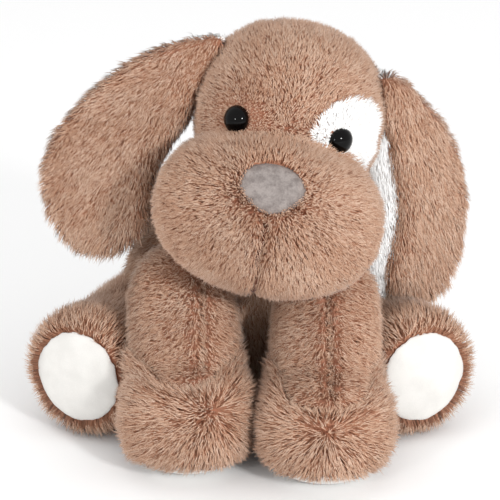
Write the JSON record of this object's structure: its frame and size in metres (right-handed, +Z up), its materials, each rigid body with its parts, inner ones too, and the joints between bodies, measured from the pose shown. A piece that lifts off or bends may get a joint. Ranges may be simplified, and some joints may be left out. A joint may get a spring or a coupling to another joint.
{
  "type": "plush puppy",
  "caption": "Seated plush puppy with long floppy ears, a broad muzzle, stuffed legs with padded soles, a round eye patch and a short tail.",
  "frame": {"origin": "on the floor, under the middle of the puppy's box", "axes": "+Z up, the puppy faces -Y, so its left side is +X"},
  "size_m": [0.241, 0.2462, 0.2287],
  "materials": {
    "tan_plush": "matte",
    "white_plush": "matte",
    "white_velvet": "matte",
    "grey_velvet": "matte",
    "black_eye": "gloss",
    "nylon": "matte",
    "thread": "matte",
    "stuffing": "matte",
    "pellets": "matte"
  },
  "bodies": {
    "torso": {"torso_front_panel": "tan_plush", "torso_back_left_panel": "tan_plush", "torso_back_right_panel": "tan_plush", "seat_panel": "tan_plush", "torso_filling": "stuffing", "pellet_bag": "pellets"},
    "neck": {"neck_roll": "tan_plush"},
    "head": {"head_left_side": "tan_plush", "head_right_side": "tan_plush", "head_centre_strip": "tan_plush", "eye_patch": "white_plush", "muzzle_left_panel": "tan_plush", "muzzle_right_panel": "tan_plush", "nose_patch": "grey_velvet", "mouth_thread": "thread", "left_eye": "black_eye", "right_eye": "black_eye", "left_eye_washer": "nylon", "right_eye_washer": "nylon", "head_filling": "stuffing"},
    "left_ear": {"left_ear_outer": "tan_plush", "left_ear_lining": "white_plush"},
    "right_ear": {"right_ear_outer": "tan_plush", "right_ear_lining": "white_plush"},
    "left_front_leg": {"left_front_leg_inner_panel": "tan_plush", "left_front_leg_outer_panel": "tan_plush", "left_paw_panel": "tan_plush", "left_paw_sole": "white_velvet", "left_front_leg_filling": "stuffing"},
    "right_front_leg": {"right_front_leg_inner_panel": "tan_plush", "right_front_leg_outer_panel": "tan_plush", "right_paw_panel": "tan_plush", "right_paw_sole": "white_velvet", "right_front_leg_filling": "stuffing"},
    "left_hind_leg": {"left_hind_leg_inner_panel": "tan_plush", "left_hind_leg_outer_panel": "tan_plush", "left_hind_sole": "white_velvet", "left_hind_leg_filling": "stuffing"},
    "right_hind_leg": {"right_hind_leg_inner_panel": "tan_plush", "right_hind_leg_outer_panel": "tan_plush", "right_hind_sole": "white_velvet", "right_hind_leg_filling": "stuffing"},
    "tail": {"tail_left_panel": "tan_plush", "tail_right_panel": "tan_plush", "tail_filling": "stuffing"}
  },
  "joints": [
    {"name": "neck_turn", "type": "hinge", "parent": "torso", "child": "neck", "pos_m": [0.01111, -0.02555, 0.138], "axis": [0, 0, 1], "range_deg": [-6, 6], "stiffness_Nm_per_rad": 0.6},
    {"name": "head_nod", "type": "hinge", "parent": "neck", "child": "head", "pos_m": [0.01111, -0.02555, 0.138], "axis": [1, 0, 0], "range_deg": [-4, 2], "stiffness_Nm_per_rad": 3},
    {"name": "left_ear_flap", "type": "hinge", "parent": "head", "child": "left_ear", "pos_m": [0.07388, -0.02755, 0.18488], "axis": [0, 0, 1], "range_deg": [-14, 0], "stiffness_Nm_per_rad": 0.05},
    {"name": "right_ear_flap", "type": "hinge", "parent": "head", "child": "right_ear", "pos_m": [-0.02789, -0.02755, 0.206], "axis": [0, 0, -1], "range_deg": [-12, 25], "stiffness_Nm_per_rad": 0.05},
    {"name": "left_front_leg_lift", "type": "hinge", "parent": "torso", "child": "left_front_leg", "pos_m": [0.04111, -0.04355, 0.08], "axis": [-1, 0, 0], "range_deg": [0, 15], "stiffness_Nm_per_rad": 0.4},
    {"name": "right_front_leg_lift", "type": "hinge", "parent": "torso", "child": "right_front_leg", "pos_m": [-0.03889, -0.04355, 0.085], "axis": [-1, 0, 0], "range_deg": [0, 15], "stiffness_Nm_per_rad": 0.4},
    {"name": "left_hind_leg_spread", "type": "hinge", "parent": "torso", "child": "left_hind_leg", "pos_m": [0.05411, 0.03145, 0.036], "axis": [0, 0, 1], "range_deg": [0, 18], "stiffness_Nm_per_rad": 0.5},
    {"name": "right_hind_leg_spread", "type": "hinge", "parent": "torso", "child": "right_hind_leg", "pos_m": [-0.05589, 0.03145, 0.036], "axis": [0, 0, -1], "range_deg": [0, 18], "stiffness_Nm_per_rad": 0.5},
    {"name": "tail_wag", "type": "hinge", "parent": "torso", "child": "tail", "pos_m": [-0.00089, 0.07645, 0.032], "axis": [0, 0, 1], "range_deg": [-10, 10], "stiffness_Nm_per_rad": 0.05}
  ]
}
